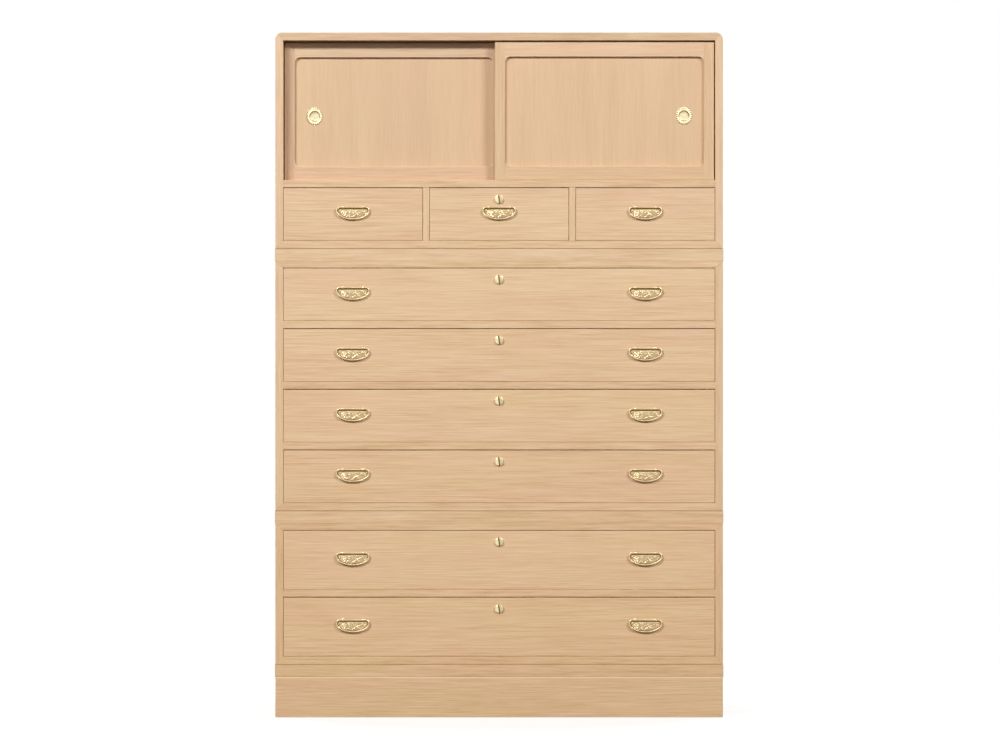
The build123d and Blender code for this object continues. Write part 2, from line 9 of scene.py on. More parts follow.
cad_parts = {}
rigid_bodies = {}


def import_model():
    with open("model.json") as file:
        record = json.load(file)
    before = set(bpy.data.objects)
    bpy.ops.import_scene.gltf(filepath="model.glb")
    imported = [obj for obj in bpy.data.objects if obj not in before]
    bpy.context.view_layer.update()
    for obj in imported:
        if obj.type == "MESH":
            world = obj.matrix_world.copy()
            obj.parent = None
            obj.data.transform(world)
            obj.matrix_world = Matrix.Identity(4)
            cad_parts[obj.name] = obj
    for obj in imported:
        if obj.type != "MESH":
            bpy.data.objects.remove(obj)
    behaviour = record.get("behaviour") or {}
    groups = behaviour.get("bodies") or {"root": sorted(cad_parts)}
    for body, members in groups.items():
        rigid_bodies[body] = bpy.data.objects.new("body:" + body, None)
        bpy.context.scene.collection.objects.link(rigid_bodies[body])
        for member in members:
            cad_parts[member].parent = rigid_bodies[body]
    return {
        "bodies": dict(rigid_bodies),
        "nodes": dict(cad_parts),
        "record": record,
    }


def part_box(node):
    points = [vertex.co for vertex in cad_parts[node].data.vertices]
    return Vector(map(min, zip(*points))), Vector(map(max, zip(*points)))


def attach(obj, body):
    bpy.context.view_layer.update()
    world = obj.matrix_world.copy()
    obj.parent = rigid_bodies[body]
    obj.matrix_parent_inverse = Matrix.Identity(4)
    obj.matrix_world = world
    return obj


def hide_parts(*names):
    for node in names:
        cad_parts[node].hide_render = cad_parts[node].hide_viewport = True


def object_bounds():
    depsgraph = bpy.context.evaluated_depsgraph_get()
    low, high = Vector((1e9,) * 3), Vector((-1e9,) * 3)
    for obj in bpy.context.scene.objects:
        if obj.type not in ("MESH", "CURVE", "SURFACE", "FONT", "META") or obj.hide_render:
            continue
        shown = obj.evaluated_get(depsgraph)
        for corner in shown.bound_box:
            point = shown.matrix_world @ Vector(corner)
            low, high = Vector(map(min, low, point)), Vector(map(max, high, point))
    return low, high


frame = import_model()
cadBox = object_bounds()
print("frame loaded")

mm = 0.001  # sizes below are in millimetres, the scene is in metres
outward = Vector((0, -1, 0))  # the way the front looks
sideways = Vector((1, 0, 0))
upward = Vector((0, 0, 1))
bodyOf = {node: body for body, nodes in frame["record"]["behaviour"]["bodies"].items() for node in nodes}


# Small helpers for colours, nodes and meshes
def tone(red, green, blue):
    levels = [value / 255 for value in (red, green, blue)]
    linear = [v / 12.92 if v <= 0.04045 else ((v + 0.055) / 1.055) ** 2.4 for v in levels]
    return (*linear, 1.0)


def addNode(tree, kind, sockets=None, **settings):
    node = tree.nodes.new(kind)
    for key, value in settings.items():
        setattr(node, key, value)
    for key, value in (sockets or {}).items():
        if isinstance(value, bpy.types.NodeSocket):
            tree.links.new(value, node.inputs[key])
        else:
            node.inputs[key].default_value = value
    return node


def calculate(tree, operation, *values):
    return addNode(tree, "ShaderNodeMath", dict(enumerate(values)), operation=operation).outputs[0]


def addNoise(tree, place, scale, detail, roughness=0.5):
    return addNode(tree, "ShaderNodeTexNoise", {"Vector": place, "Scale": scale, "Detail": detail,
                                                "Roughness": roughness}).outputs["Fac"]


def addBump(tree, height, look):
    return addNode(tree, "ShaderNodeBump", {"Height": height, "Strength": look["bumpStrength"],
                                            "Distance": look["bumpDistance"]}).outputs["Normal"]


def addRamp(tree, value, places, colours):
    ramp = addNode(tree, "ShaderNodeValToRGB", {"Fac": value})
    stops = ramp.color_ramp.elements
    for place in places[1:-1]:
        stops.new(place)
    stops[0].position, stops[-1].position = places[0], places[-1]
    for stop, colour in zip(stops, colours):
        stop.color = tone(*colour)
    return ramp.outputs["Color"]


def newMaterial(name):
    material = bpy.data.materials.new(name)
    material.use_nodes = True
    return material, material.node_tree, material.node_tree.nodes["Principled BSDF"]


def finishMesh(bm, name, material, sharpAngle=30):
    bmesh.ops.recalc_face_normals(bm, faces=bm.faces)
    mesh = bpy.data.meshes.new(name)
    bm.to_mesh(mesh)
    bm.free()
    mesh.polygons.foreach_set("use_smooth", [True] * len(mesh.polygons))
    mesh.set_sharp_from_angle(angle=radians(sharpAngle))
    mesh.materials.append(material)
    return mesh


def bevelEdges(bm, edges, width, clamp=False):
    bmesh.ops.bevel(bm, geom=edges, offset=width * mm, offset_type="OFFSET", segments=2, profile=0.5,
                    affect="EDGES", clamp_overlap=clamp)


def joinFlats(bm, angle=0.5):
    bmesh.ops.dissolve_limit(bm, angle_limit=radians(angle), verts=bm.verts, edges=bm.edges)


def withModifier(mesh, kind, **settings):
    thing = bpy.data.objects.new("whole", mesh)
    bpy.context.scene.collection.objects.link(thing)
    modifier = thing.modifiers.new("change", kind)
    for key, value in settings.items():
        setattr(modifier, key, value)
    result = bpy.data.meshes.new_from_object(thing.evaluated_get(bpy.context.evaluated_depsgraph_get()))
    bpy.data.objects.remove(thing)
    return result


def addPiece(name, mesh, body, place=(0, 0, 0), replaces=()):
    piece = bpy.data.objects.new(name, mesh)
    bpy.context.scene.collection.objects.link(piece)
    piece.location = place
    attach(piece, body)
    if replaces:
        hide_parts(*replaces)
    return piece


# Paulownia with straight grain. grainPlace is a point's place in its own board: along the grain,
# across the face and through the thickness. boardLook holds a board's tone, which on some boards and
# eased edges carries painted highlights and painted shade, its warmth, which carries a painted colour
# cast of the light, and how strongly its growth lines show.
woodLook = {
    "dark": (205, 166, 124),
    "middle": (227, 191, 151),
    "light": (240, 208, 172),
    "sway": 0.003,  # how far the growth lines wander, in metres
    "swayScale": (5.0, 12, 12),
    "lineScale": (8.5, 360, 180),
    "lineDetail": (3, 0.66),  # octaves, and how strong the finer ones are
    "lineShare": 1.25,
    "fibreScale": (30, 1300, 900),
    "fibreDetail": (2, 0.7),
    "fibreShare": 0.36,
    "patchScale": (2.0, 26, 26),
    "patchShare": 0.26,
    "toneRange": (0.12, 0.5, 0.88),  # where dark, middle and light lie
    "hueScale": (2.2, 13, 13),
    "hueShare": 0.03,  # pinker and yellower patches
    "roughness": 0.58,
    "roughSpread": 0.14,
    "specular": 0.18,
    "relief": (0.6, 0.4),  # of the growth lines and of the fibres
    "bumpStrength": 0.6,
    "bumpDistance": 0.00022,
}


def makeWood(name, look):
    material, tree, shader = newMaterial(name)
    place = addNode(tree, "ShaderNodeAttribute", attribute_name="grainPlace").outputs["Vector"]
    board = addNode(tree, "ShaderNodeAttribute", attribute_name="boardLook").outputs["Vector"]
    # The board's tone carries painted highlights and painted shade on some boards and edges; its warmth
    # carries a painted colour cast of the light
    boardToneAndShade, boardWarmthWithLightCast, boardLines = addNode(tree, "ShaderNodeSeparateXYZ", {0: board}).outputs

    def stretchedNoise(vector, scale, detail=2, roughness=0.5):
        stretched = addNode(tree, "ShaderNodeVectorMath", {0: vector, 1: scale}, operation="MULTIPLY")
        return addNoise(tree, stretched.outputs[0], 1.0, detail, roughness)

    def centred(layer, share):
        return calculate(tree, "MULTIPLY", calculate(tree, "SUBTRACT", layer, 0.5), share)

    sway = centred(stretchedNoise(place, look["swayScale"]), look["sway"])
    drift = addNode(tree, "ShaderNodeCombineXYZ", {"Y": sway}).outputs[0]
    swayed = addNode(tree, "ShaderNodeVectorMath", {0: place, 1: drift}, operation="ADD").outputs[0]
    lines = stretchedNoise(swayed, look["lineScale"], *look["lineDetail"])
    fibres = stretchedNoise(swayed, look["fibreScale"], *look["fibreDetail"])
    patches = stretchedNoise(swayed, look["patchScale"])
    shade = calculate(tree, "ADD", boardToneAndShade, 0.5)
    for layer in (calculate(tree, "MULTIPLY", centred(lines, look["lineShare"]), boardLines),
                  centred(fibres, look["fibreShare"]), centred(patches, look["patchShare"])):
        shade = calculate(tree, "ADD", shade, layer)
    ramp = addRamp(tree, shade, look["toneRange"], (look["dark"], look["middle"], look["light"]))
    hue = centred(stretchedNoise(place, look["hueScale"]), look["hueShare"])
    colour = addNode(tree, "ShaderNodeHueSaturation", {
        "Color": ramp, "Hue": calculate(tree, "ADD", hue, 0.5),
        "Saturation": calculate(tree, "ADD", boardWarmthWithLightCast, 1.0)})
    relief = [calculate(tree, "MULTIPLY", layer, share)
              for layer, share in zip((lines, fibres), look["relief"])]
    rough = calculate(tree, "MULTIPLY_ADD", fibres, look["roughSpread"],
                      look["roughness"] - look["roughSpread"] / 2)
    tree.links.new(colour.outputs[0], shader.inputs["Base Color"])
    tree.links.new(addBump(tree, calculate(tree, "ADD", *relief), look), shader.inputs["Normal"])
    tree.links.new(rough, shader.inputs["Roughness"])
    shader.inputs["Specular IOR Level"].default_value = look["specular"]
    return material


wood = makeWood("paulownia", woodLook)
print("wood ready")


# Boards: each wooden node is taken over with its edges eased, board by board
boardWork = {
    "seed": 7,
    "ease": 0.5,  # width of the eased edges
    "easeAngle": 30,  # the least turn, in degrees, that is eased
    "easeRoom": 2.4,  # how many eases wide both faces beside an edge must be
    "easeOf": {"plinth_frame": 1.1},  # boards whose edges are eased more
    "topSlope": {"plinth_frame": 3.0},  # boards whose top edges slope: height over depth
    "topBand": 1.01,  # what belongs to a top edge, in eases
    "endLimit": 0.8,  # faces that look along the grain more than this are end grain
    "edgeLimits": (0.05, 0.95),  # and those that look this much up or down are eased edges
    "topEdgeHighlightAndShade": {  # painted highlight and painted shade on the eased edges that look up: lighter on the plinth and the door frames, darker in the seams on the bands
        "plinth_frame": 0.7, "case_bands": -0.8, "door_left_frame": 0.8, "door_right_frame": 0.8},
    "underEdgeShade": {"case_bottoms": -0.8},  # and painted shade on those that look down
    "cooler": {  # less warmth than the rest
        "door_left_frame": 0.1, "door_left_panel": 0.03, "upper_case_top": 0.05, "case_bands": 0.02,
        "middle_case_sides": 0.03, "plinth_frame": 0.035},
    "toneSpread": 0.05,
    "endGrain": -0.16,
    "warmthWithLightCast": (-0.07, 0.07),  # painted colour cast of the light: less warm at the top and warmer at the bottom of the chest
    "lines": {  # boards whose growth lines show less
        "door_right_panel": 0.25, "door_left_panel": 0.25, "door_right_frame": 0.6, "door_left_frame": 0.6,
        "upper_case_sides": 0.7, "middle_case_sides": 0.7, "lower_case_sides": 0.7, "upper_case_top": 0.8},
    "upright": [  # boards whose grain runs up, whatever their size
        "upper_case_sides", "middle_case_sides", "lower_case_sides", "door_right_panel", "door_left_panel",
        "drawer_dividers"],
    "tonesAndShade": {  # how much lighter or darker than the rest; the top board and the rear door's frame and panel are painted darker as shade
        "upper_case_top": -0.28, "upper_case_sides": 0.06, "cupboard_floor": -0.07, "case_bottoms": -0.02,
        "door_left_frame": -0.2, "door_left_panel": -0.15, "door_right_frame": -0.06,
        "door_right_panel": -0.03,
        "small_drawer_1": 0.03, "small_drawer_2": 0.04, "small_drawer_3": 0.06,
        "long_drawer_1": 0.12, "long_drawer_2": 0.09, "long_drawer_3": 0.05, "long_drawer_4": 0.06,
        "deep_drawer_1": 0.08, "deep_drawer_2": 0.10, "plinth_frame": -0.04},
}


def isWooden(node):
    return not any(word in node for word in ("fittings", "bail", "bolt", "pull"))


def splitSolids(mesh):
    # The triangles of one solid follow one another, and it is whole once each edge has its twin
    solids, triangles, openEdges = [], [], set()
    corners = [tuple(round(c, 6) for c in vert.co) for vert in mesh.vertices]
    for face in mesh.polygons:
        points = [corners[i] for i in face.vertices]
        for edge in zip(points, points[1:] + points[:1]):
            if edge[::-1] in openEdges:
                openEdges.remove(edge[::-1])
            elif edge[0] != edge[1]:
                openEdges.add(edge)
        triangles.append(points)
        if not openEdges:
            solids.append(triangles)
            triangles = []
    return solids


def makeSolid(triangles):
    bm = bmesh.new()
    verts = {point: bm.verts.new(point) for point in dict.fromkeys(sum(triangles, []))}
    for points in triangles:
        if len(set(points)) == 3:
            bm.faces.new([verts[point] for point in points])
    joinFlats(bm)
    return bm


def easeEdges(bm, node, work):
    ease, slope = work["easeOf"].get(node, work["ease"]), work["topSlope"].get(node, 1)
    edges = []
    for edge in bm.edges:
        narrowest = min(face.calc_area() for face in edge.link_faces) / edge.calc_length()
        if edge.calc_face_angle() > radians(work["easeAngle"]) and narrowest > work["easeRoom"] * ease * mm:
            edges.append(edge)
    bevelEdges(bm, edges, ease, clamp=True)
    top = max(vert.co.z for vert in bm.verts)
    for vert in bm.verts:
        if top - vert.co.z < work["topBand"] * ease * mm:
            vert.co.z = top - (top - vert.co.z) * slope
    bm.normal_update()


def dressBoards(node, work, chance):
    whole = bmesh.new()
    whole.verts.layers.float_vector.new("grainPlace")
    whole.faces.layers.float_vector.new("boardLook")
    chestTop, chestBottom = cadBox[1][2], cadBox[0][2]
    leastEdge, mostEdge = work["edgeLimits"]
    for triangles in splitSolids(frame["nodes"][node].data):
        bm = makeSolid(triangles)
        easeEdges(bm, node, work)
        place = bm.verts.layers.float_vector.new("grainPlace")
        look = bm.faces.layers.float_vector.new("boardLook")
        low = [min(v.co[i] for v in bm.verts) for i in range(3)]
        high = [max(v.co[i] for v in bm.verts) for i in range(3)]
        order = sorted(range(3), key=lambda i: high[i] - low[i])
        along = 2 if node in work["upright"] else order[2]
        across, through = [i for i in reversed(order) if i != along]
        shift = [chance.uniform(0, 20) for _ in range(3)]
        shade = chance.uniform(-1, 1) * work["toneSpread"] + work["tonesAndShade"].get(node, 0)
        # The warmth shifts with the board's height as a painted colour cast of the light
        drop = (chestTop - (low[2] + high[2]) / 2) / (chestTop - chestBottom)
        warmthWithLightCast = work["warmthWithLightCast"][0] * (1 - drop) + work["warmthWithLightCast"][1] * drop - work["cooler"].get(node, 0)
        lines = work["lines"].get(node, 1)
        for vert in bm.verts:
            vert[place] = (vert.co[along] + shift[0], vert.co[across] + shift[1], vert.co[through] + shift[2])
        # End grain is darker. Eased edges that look up are painted lighter on some boards as highlight and
        # darker on others as shade; those that look down get painted shade
        for face in bm.faces:
            endGrainAndEdgeLight = 0
            if abs(face.normal[along]) > work["endLimit"]:
                endGrainAndEdgeLight = work["endGrain"]
            elif leastEdge < abs(face.normal.z) < mostEdge:
                endGrainAndEdgeLight = work["topEdgeHighlightAndShade" if face.normal.z > 0 else "underEdgeShade"].get(node, 0)
            face[look] = (shade + endGrainAndEdgeLight, warmthWithLightCast, lines)
        part = bpy.data.meshes.new("board")
        bm.to_mesh(part)
        bm.free()
        whole.from_mesh(part)
        bpy.data.meshes.remove(part)
    # Weighted normals keep flat faces flat beside eased edges
    boards = finishMesh(whole, f"{node}_boards", wood, sharpAngle=35)
    boards = withModifier(boards, "WEIGHTED_NORMAL", keep_sharp=True)
    addPiece(f"{node}_boards", boards, bodyOf[node], replaces=(node,))


chance = random.Random(boardWork["seed"])
for nodeName in sorted(frame["nodes"]):
    if isWooden(nodeName):
        dressBoards(nodeName, boardWork, chance)
print("boards dressed")


# Pale brass with soft patches; a face value darkens it, as patina in the hollows and as painted shade under
# the bars, between the petals, on the knuckles' lower halves and on the locks
brassLook = {
    "bright": (218, 197, 160),
    "patches": (196, 173, 134),
    "patinaAndShade": (126, 101, 58),
    "toneRange": (0.34, 0.56),  # where patches and bright lie
    "patchSize": 90.0,
    "roughness": 0.36,
    "roughSpread": 0.16,
    "hammerSize": 700.0,
    "bumpStrength": 0.5,
    "bumpDistance": 0.00012,
}
paleBrassLook = {**brassLook, "bright": (224, 211, 174), "patches": (210, 194, 152), "roughness": 0.4}


def makeBrass(name, look):
    material, tree, shader = newMaterial(name)
    place = addNode(tree, "ShaderNodeTexCoord").outputs["Object"]
    patches = addNoise(tree, place, look["patchSize"], 3)
    hammer = addNoise(tree, place, look["hammerSize"], 2)
    ramp = addRamp(tree, patches, look["toneRange"], (look["patches"], look["bright"]))
    # The dark colour is mixed in as patina and as painted shade
    patinaAndShade = addNode(tree, "ShaderNodeAttribute", attribute_name="patinaAndShade").outputs["Fac"]
    colour = addNode(tree, "ShaderNodeMixRGB", {
        "Fac": patinaAndShade, "Color1": ramp, "Color2": tone(*look["patinaAndShade"])})
    rough = calculate(tree, "MULTIPLY_ADD", hammer, look["roughSpread"],
                      look["roughness"] - look["roughSpread"] / 2)
    tree.links.new(colour.outputs[0], shader.inputs["Base Color"])
    tree.links.new(rough, shader.inputs["Roughness"])
    tree.links.new(addBump(tree, hammer, look), shader.inputs["Normal"])
    shader.inputs["Metallic"].default_value = 1.0
    return material


brass = makeBrass("brass", brassLook)
paleBrass = makeBrass("pale_brass", paleBrassLook)


# The face value that holds patina and painted shade
def patinaAndShadeLayer(bm):
    return bm.faces.layers.float.get("patinaAndShade") or bm.faces.layers.float.new("patinaAndShade")


# Sweeps, boxes and lathe work for the brass. Profiles are radius and place along the axis
def sweep(bm, path, widths, depths, sides, closed):
    rings = []
    for i, point in enumerate(path):
        before = path[i - 1] if closed or i else path[i]
        after = path[(i + 1) % len(path)] if closed or i < len(path) - 1 else path[i]
        ahead = (Vector(after) - Vector(before)).normalized()
        across = ahead.cross(outward).normalized()
        ring = []
        for k in range(sides):
            turn = 2 * pi * k / sides
            offset = across * widths[i] * cos(turn) + outward * depths[i] * sin(turn)
            ring.append(bm.verts.new(Vector(point) + offset))
        rings.append(ring)
    last = len(rings) if closed else len(rings) - 1
    for i in range(last):
        first, second = rings[i], rings[(i + 1) % len(rings)]
        for k in range(sides):
            bm.faces.new((first[k], first[(k + 1) % sides], second[(k + 1) % sides], second[k]))
    if not closed:
        bm.faces.new(rings[0])
        bm.faces.new(list(reversed(rings[-1])))


def lathe(bm, profile, centre, axis, start, steps, closedProfile=False):
    rings = []
    third = axis.cross(start)
    turns = [2 * pi * k / steps for k in range(steps)]
    for radius, along in profile:
        hub = Vector([c * mm for c in centre]) + axis * (along * mm)
        if radius == 0:
            rings.append([bm.verts.new(hub)])
            continue
        rings.append([bm.verts.new(hub + (start * cos(turn) + third * sin(turn)) * (radius * mm))
                      for turn in turns])
    pairs = list(zip(rings, rings[1:])) + ([(rings[-1], rings[0])] if closedProfile else [])
    for first, second in pairs:
        for k in range(steps):
            near = [ring[k % len(ring)] for ring in (first, second)]
            far = [ring[(k + 1) % len(ring)] for ring in (first, second)]
            corners = [near[0], far[0], far[1], near[1]]
            bm.faces.new([v for i, v in enumerate(corners) if v not in corners[:i]])
    if not closedProfile:
        for ring in (rings[0], rings[-1]):
            if len(ring) > 1:
                bm.faces.new(ring)


def addBox(bm, low, high, ease=0.0):
    matrix = (Matrix.Translation([(a + b) / 2 * mm for a, b in zip(low, high)])
              @ Matrix.Diagonal([*[(b - a) * mm for a, b in zip(low, high)], 1]))
    made = bmesh.ops.create_cube(bm, size=1, matrix=matrix)
    if ease:
        bevelEdges(bm, list(dict.fromkeys(edge for vert in made["verts"] for edge in vert.link_edges)), ease)


frontBoard = 20.0  # thickness of the drawer fronts, which the brass goes through


# Bails. The outline is a straight top, round shoulders and a half-elliptic foot, z down from the top
bailShape = {
    "width": 78.4,
    "height": 30.5,
    "shoulder": 9.3,
    "leastShoulder": 0.8,  # of the outlines further in
    "rim": 3.2,
    "barRadius": 1.6,
    "footWidth": 1.7,  # half the rim's breadth at the bottom of the foot
    "footDepth": 2.1,
    "shoulderSteps": 10,
    "footSteps": 56,
    "barSteps": 12,
    "sides": 16,
}


def bailPoints(margin, shape):
    half = shape["width"] / 2 - margin
    shoulder = max(shape["shoulder"] - margin, shape["leastShoulder"])
    low = -margin - shoulder
    foot = shape["height"] + low - margin
    bar = [(-half + shoulder + 2 * (half - shoulder) * i / shape["barSteps"], -margin)
           for i in range(shape["barSteps"] + 1)]
    right = [(half - shoulder + shoulder * sin(pi / 2 * i / shape["shoulderSteps"]),
              low + shoulder * cos(pi / 2 * i / shape["shoulderSteps"]))
             for i in range(1, shape["shoulderSteps"] + 1)]
    below = [(half * cos(pi * i / shape["footSteps"]), low - foot * sin(pi * i / shape["footSteps"]))
             for i in range(1, shape["footSteps"])]
    left = [(-x, z) for x, z in reversed(right)]
    return bar + right + below + left


def makeBailMesh(shape):
    bm = bmesh.new()
    line = bailPoints(shape["rim"] / 2, shape)
    path = [(x * mm, 0, (z + shape["rim"] / 2) * mm) for x, z in line]  # z = 0 at the bar's middle
    fall = [min(1, max(0, -(z + shape["rim"] / 2) / (shape["height"] - shape["rim"]))) for x, z in line]
    widths = [(shape["barRadius"] + (shape["footWidth"] - shape["barRadius"]) * f) * mm for f in fall]
    depths = [(shape["barRadius"] + (shape["footDepth"] - shape["barRadius"]) * f ** 0.5) * mm for f in fall]
    sweep(bm, path, widths, depths, shape["sides"], True)
    return finishMesh(bm, "bail", brass, sharpAngle=50)


bailMesh = makeBailMesh(bailShape)


# Back plates: a bevelled rim, a channel that is broad under the bar and darkened as patina and as painted
# shade, and a low domed field with a scroll, blossoms and leaf sprays
plateShape = {
    "margin": 1.2,  # inside the bail's outline
    "levels": [  # inset from the edge, height, top of the field below the plate's top, and patina, which in the channel under the bar is also painted shade
        (0.0, 0.0, 0.0, 0.4), (0.0, 0.9, 0.0, 0.4), (0.35, 1.35, 0.0, 0.3), (0.9, 1.6, 0.0, 0.3),
        (1.9, 1.6, 0.0, 0.5), (2.3, 0.5, 0.0, 1.0), (2.9, 0.45, 6.3, 1.0), (3.2, 1.3, 6.7, 0.9),
        (4.0, 1.6, 7.3, 0.2), (5.6, 1.75, 8.2, 0.3), (8.0, 1.95, 9.9, 0.38), (10.5, 2.1, 0.0, 0.42),
        (13.2, 2.15, 0.0, 0.42)],
    "channelFade": (-8.0, -19.0),  # the patina and painted shade of the channel fade down the sides
    "fadeAbove": 0.6,  # only patina stronger than this fades
    "fadeShare": 0.65,
    "reliefHeight": 1.85,
    "reliefSides": 8,
    "scrollSteps": 26,  # for each turn
    "scrollCurl": 0.8,  # how evenly a scroll closes in
    "scrollEye": 0.5,
    "scrollTip": 0.35,  # its thickness at the ends, as a share
    "scrollSwell": (0.12, 1.02),  # where the swelling starts and ends, in half waves
    "scrollDepth": 0.9,  # as a share of its thickness
    "scrollBead": (1.3, 1.1, 1.3, 0.1),  # radii of the bead in its eye, in thicknesses, and its lift
    "scrolls": [  # middle, start radius, turns, first angle, way round, thickness
        ((-21.0, -16.8), 6.4, 1.7, 20, 1, 1.25),
        ((-9.2, -12.2), 2.9, 1.2, 160, -1, 0.7),
        ((27.5, -14.6), 3.3, 1.3, 200, -1, 0.8),
    ],
    "sprays": [  # from, to and rise of a leaf spray
        ((-2.4, -25.0), (22.5, -11.2), 1.6),
        ((4.5, -9.2), (14.0, -20.5), -1.2),
        ((-15.5, -24.0), (-8.0, -19.5), 0.8),
    ],
    "spraySteps": 12,
    "stem": (0.75, 0.35),  # radius at the foot and at the tip
    "leaves": 4,
    "firstLeaf": 0.8,  # its place, in leaf distances from the foot
    "leafTurn": 0.75,  # how far a leaf leans from the stem, in radians
    "leafReach": 1.5,
    "leaf": (1.9, 0.8, 0.85),
    "blossoms": [(0.8, -13.6, 2.7), (-9.0, -24.3, 1.5), (-31.0, -12.6, 1.5)],  # place and petal ring
    "petals": 6,
    "petal": (0.62, 0.9, 0.42, 0.15),  # length as a share of the ring, depth, breadth as a share, and lift
    "heart": (0.5, 1.0, 0.5, 0.4),
}


def addBead(bm, x, z, height, radii, turn):
    matrix = (Matrix.Translation((x * mm, -height * mm, z * mm)) @ Matrix.Rotation(-radians(turn), 4, "Y")
              @ Matrix.Diagonal((radii[0] * mm, radii[1] * mm, radii[2] * mm, 1)))
    bmesh.ops.create_uvsphere(bm, u_segments=12, v_segments=8, radius=1, matrix=matrix)


def addScroll(bm, shape, middle, radius, turns, first, way, thick):
    count = int(shape["scrollSteps"] * turns)
    swellStart, swellEnd = shape["scrollSwell"]
    path, widths = [], []
    for i in range(count + 1):
        share = i / count
        angle = radians(first) + way * 2 * pi * turns * share
        reach = radius * (1 - share) ** shape["scrollCurl"] + shape["scrollEye"]
        path.append(((middle[0] + reach * cos(angle)) * mm, -shape["reliefHeight"] * mm,
                     (middle[1] + reach * sin(angle)) * mm))
        swell = sin(pi * min(1, swellStart + (swellEnd - swellStart) * share))
        widths.append(thick * (shape["scrollTip"] + (1 - shape["scrollTip"]) * swell) * mm)
    sweep(bm, path, widths, [shape["scrollDepth"] * width for width in widths], shape["reliefSides"], False)
    *radii, lift = shape["scrollBead"]
    addBead(bm, *middle, shape["reliefHeight"] + lift, [thick * radius for radius in radii], 0)


def addSpray(bm, shape, start, end, rise):
    (startX, startZ), (endX, endZ) = start, end
    lean = atan2(endZ - startZ, endX - startX)
    steps, height, reach = shape["spraySteps"], shape["reliefHeight"], shape["leafReach"]
    foot, tip = shape["stem"]

    def onStem(share):
        bow = rise * sin(pi * share)
        return (startX + (endX - startX) * share - bow * sin(lean),
                startZ + (endZ - startZ) * share + bow * cos(lean))

    stem = [(x * mm, -height * mm, z * mm) for x, z in (onStem(i / steps) for i in range(steps + 1))]
    widths = [(foot - (foot - tip) * i / steps) * mm for i in range(steps + 1)]
    sweep(bm, stem, widths, widths, shape["reliefSides"], False)
    for i in range(shape["leaves"]):
        x, z = onStem((i + shape["firstLeaf"]) / shape["leaves"])
        turn = lean + (shape["leafTurn"] if i % 2 else -shape["leafTurn"])
        addBead(bm, x + reach * cos(turn), z + reach * sin(turn), height, shape["leaf"], degrees(turn))


def addBlossom(bm, shape, x, z, ring):
    def addPart(part, x, z, turn):
        long, deep, broad, lift = shape[part]
        addBead(bm, x, z, shape["reliefHeight"] + lift, (long * ring, deep, broad * ring), turn)

    for i in range(shape["petals"]):
        turn = 360 * i / shape["petals"]
        addPart("petal", x + ring * cos(radians(turn)), z + ring * sin(radians(turn)), turn)
    addPart("heart", x, z, 0)


def makePlateMesh(shape, bail):
    bm = bmesh.new()
    patinaAndShade = patinaAndShadeLayer(bm)
    rings = []
    for inset, height, top, _ in shape["levels"]:
        points = bailPoints(shape["margin"] + inset, bail)
        rings.append([bm.verts.new((x * mm, -height * mm, min(z, -top) * mm)) for x, z in points])
    fadeTop, fadeLow = shape["channelFade"]
    # Patina on every level; in the channel under the bar the darkening is also painted shade
    for first, second, (*_, dark) in zip(rings, rings[1:], shape["levels"][1:]):
        for k in range(len(first)):
            face = bm.faces.new((first[k - 1], first[k], second[k], second[k - 1]))
            fade = (fadeTop - first[k].co.z / mm) / (fadeTop - fadeLow)
            share = shape["fadeShare"] if dark > shape["fadeAbove"] else 0
            face[patinaAndShade] = dark * (1 - share * min(1, max(0, fade)))
    bm.faces.new(rings[0])
    bm.faces.new(rings[-1])[patinaAndShade] = shape["levels"][-1][-1]
    for scroll in shape["scrolls"]:
        addScroll(bm, shape, *scroll)
    for spray in shape["sprays"]:
        addSpray(bm, shape, *spray)
    for blossom in shape["blossoms"]:
        addBlossom(bm, shape, *blossom)
    return finishMesh(bm, "back_plate", brass, sharpAngle=40)


plateMesh = makePlateMesh(plateShape, bailShape)


# Knuckles: an eye round the bar, its neck and collar, and the shank bent over inside the drawer
knuckleShape = {
    "spread": 24.0,  # from the bail's middle
    "stand": 4.8,  # bar's middle in front of the drawer face
    "hole": 2.0,
    "outside": 2.6,
    "half": 1.9,  # half its width
    "cornerOf": (0.3, 0.4),  # how much the eye is rounded inside and outside
    "steps": 24,
    "collar": [(3.1, -0.1), (3.1, 0.5), (2.4, 0.9), (0, 0.9)],
    "collarSteps": 20,
    "plate": 1.6,  # thickness of the back plate at its rim
    "shank": (3.0, 2.4),
    "shankRoot": 0.4,  # how deep it starts in the eye
    "clinch": (9.0, 1.0),  # length and thickness of the bent end
    "clinchRoot": 0.05,
    "clinchEase": 0.3,
    "patinaAndShade": 0.55,  # painted shade on its lower half
}


def makeKnuckleMesh(shape):
    bm = bmesh.new()
    patinaAndShade = patinaAndShadeLayer(bm)
    hole, outside, half = shape["hole"], shape["outside"], shape["half"]
    crest = (hole + outside) / 2
    inner, outer = shape["cornerOf"]
    eye = [(hole, -half + inner), (crest, -half), (outside, -half + outer),
           (outside, half - outer), (crest, half), (hole, half - inner)]
    lathe(bm, eye, (0, 0, 0), sideways, upward, shape["steps"], closedProfile=True)
    wide, high = shape["shank"]
    inside = shape["stand"] + frontBoard
    addBox(bm, (-wide / 2, outside - shape["shankRoot"], -high / 2), (wide / 2, inside, high / 2))
    plateFace = (0, shape["stand"] - shape["plate"], 0)
    lathe(bm, shape["collar"], plateFace, outward, sideways, shape["collarSteps"])
    reach, thick = shape["clinch"]
    addBox(bm, (-reach / 2, inside - shape["clinchRoot"], -high / 2), (reach / 2, inside + thick, high / 2),
           shape["clinchEase"])
    # Painted shade: the lower half of each knuckle is darkened
    for face in bm.faces:
        face[patinaAndShade] = shape["patinaAndShade"] if face.calc_center_median().z < 0 else 0.0
    return finishMesh(bm, "knuckle", brass, sharpAngle=40)


knuckleMesh = makeKnuckleMesh(knuckleShape)


